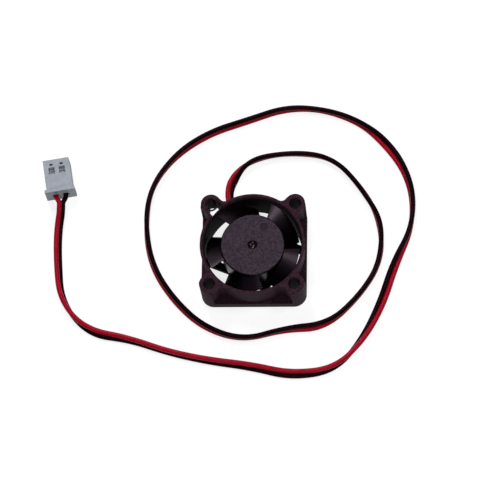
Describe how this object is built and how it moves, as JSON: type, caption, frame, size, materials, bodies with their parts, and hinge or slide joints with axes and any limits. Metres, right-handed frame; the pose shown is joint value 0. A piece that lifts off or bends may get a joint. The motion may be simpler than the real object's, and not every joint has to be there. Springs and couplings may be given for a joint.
{
  "type": "axial cooling fan",
  "caption": "Small square brushless axial cooling fan for a hotend, with a free-spinning bladed rotor, a bonded twin lead and a crimped plug.",
  "frame": {"origin": "centre of the fan's back face, in the plane it stands on", "axes": "+Z along the spindle from the back face to the hub's open face; +Y towards the side that the lead leaves; +X completes the right-handed frame"},
  "size_m": [0.0903, 0.0698, 0.01],
  "materials": {
    "black_plastic": "fine spark-eroded black moulded plastic",
    "bronze": "oil-filled sintered bronze",
    "white_nylon": "natural nylon",
    "black_rubber": "soft black plug",
    "lamination_steel": "stamped and stacked",
    "enamelled_copper": "enamelled copper wire",
    "tinned_metal": "bright tin plate and solder",
    "board_laminate": "green solder mask",
    "chip_epoxy": "moulded epoxy",
    "ceramic": "fired ceramic",
    "label_film": "blank film label",
    "red_insulation": "glossy PVC",
    "black_insulation": "glossy PVC",
    "plug_nylon": "natural white nylon in soft light",
    "bright_steel": "bright drawn steel",
    "ferrite": "bonded ferrite"
  },
  "bodies": {
    "fan_body": {"fan_frame": "black_plastic", "sleeve_bearing": "bronze", "thrust_pad": "white_nylon", "bearing_plug": "black_rubber", "stator_core": "lamination_steel", "upper_insulator": "white_nylon", "lower_insulator": "white_nylon", "windings": "enamelled_copper", "winding_pins": "tinned_metal", "circuit_board": "board_laminate", "driver_chip": "chip_epoxy", "board_capacitor": "ceramic", "board_resistor": "chip_epoxy", "solder_joints": "tinned_metal", "rear_label": "label_film", "lead_conductors": "tinned_metal", "red_lead_inner": "red_insulation", "black_lead_inner": "black_insulation", "red_lead": "red_insulation", "black_lead": "black_insulation", "plug_housing": "plug_nylon", "red_terminal": "tinned_metal", "black_terminal": "tinned_metal"},
    "rotor": {"impeller": "black_plastic", "rotor_yoke": "bright_steel", "magnet_ring": "ferrite", "shaft": "bright_steel", "retaining_clip": "white_nylon", "oil_washer": "white_nylon"}
  },
  "joints": [
    {"name": "rotor_spin", "type": "hinge", "parent": "fan_body", "child": "rotor", "pos_m": [0, 0, 0.005], "axis": [0, 0, 1], "continuous": true}
  ]
}
